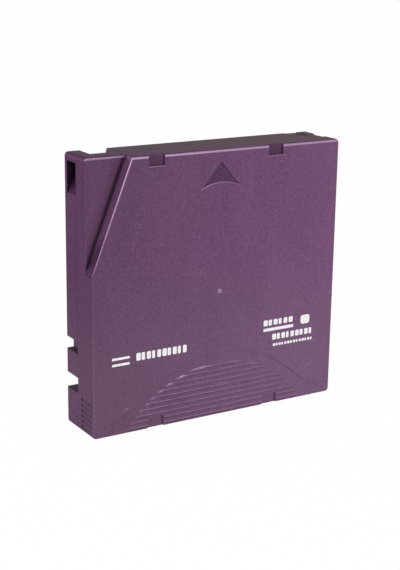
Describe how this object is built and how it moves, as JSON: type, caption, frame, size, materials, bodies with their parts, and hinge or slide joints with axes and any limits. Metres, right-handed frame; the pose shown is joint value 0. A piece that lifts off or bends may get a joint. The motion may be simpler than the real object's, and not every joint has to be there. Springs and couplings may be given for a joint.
{
  "type": "half-inch single-reel data tape cartridge",
  "caption": "Flat plastic cartridge that holds a reel of half-inch data tape, with a sliding tape door, a reel brake, a leader pin and a write-protect tab.",
  "frame": {"origin": "middle of the label edge, which the cartridge stands on", "axes": "+Z is the way the cartridge goes into its drive, +Y is the side with the reel window, +X is the side with the tape door"},
  "size_m": [0.1054, 0.0216, 0.102],
  "materials": {
    "case": "fine satin, with metallic flake",
    "screw": "zinc plated",
    "hub": "moulded",
    "flange": "moulded",
    "steel": "rolled and stamped",
    "tape": "edge of wound tape",
    "tape_strip": "smooth tape",
    "brake": "moulded",
    "spring": "drawn wire",
    "pad": "moulded",
    "door": "moulded",
    "pin": "turned and polished",
    "clip": "moulded",
    "sheet_spring": "stamped",
    "write_tab": "moulded",
    "chip": "circuit board"
  },
  "bodies": {
    "case": {"top_shell": "case", "bottom_shell": "case", "case_screws": "screw", "tape_leader": "tape_strip", "brake_spring": "spring", "door_spring": "spring", "leader_pin": "pin", "pin_clip": "clip", "pin_spring": "sheet_spring", "memory_chip": "chip"},
    "reel": {"reel_hub": "hub", "reel_flange": "flange", "drive_plate": "steel", "tape_pack": "tape"},
    "brake": {"brake": "brake"},
    "release": {"release_pad": "pad"},
    "door": {"door": "door"},
    "write_tab": {"write_protect_tab": "write_tab"}
  },
  "joints": [
    {"name": "reel_spin", "type": "hinge", "parent": "case", "child": "reel", "pos_m": [0, 0, 0.049], "axis": [0, 1, 0], "continuous": true},
    {"name": "brake_lift", "type": "slide", "parent": "case", "child": "brake", "axis": [0, -1, 0], "range_m": [0, 0.0022], "stiffness_N_per_m": 800, "springref_m": -0.004, "deforming": ["brake_spring"]},
    {"name": "release_lift", "type": "slide", "parent": "reel", "child": "release", "axis": [0, -1, 0], "range_m": [0, 0.0022]},
    {"name": "door_slide", "type": "slide", "parent": "case", "child": "door", "axis": [0, 0, -1], "range_m": [0, 0.0156], "stiffness_N_per_m": 40, "springref_m": -0.02, "deforming": ["door_spring"]},
    {"name": "write_tab_slide", "type": "slide", "parent": "case", "child": "write_tab", "axis": [1, 0, 0], "range_m": [0, 0.0048]}
  ],
  "couplings": [
    {"joint": "release_lift", "follows": "brake_lift", "ratio": 1}
  ]
}
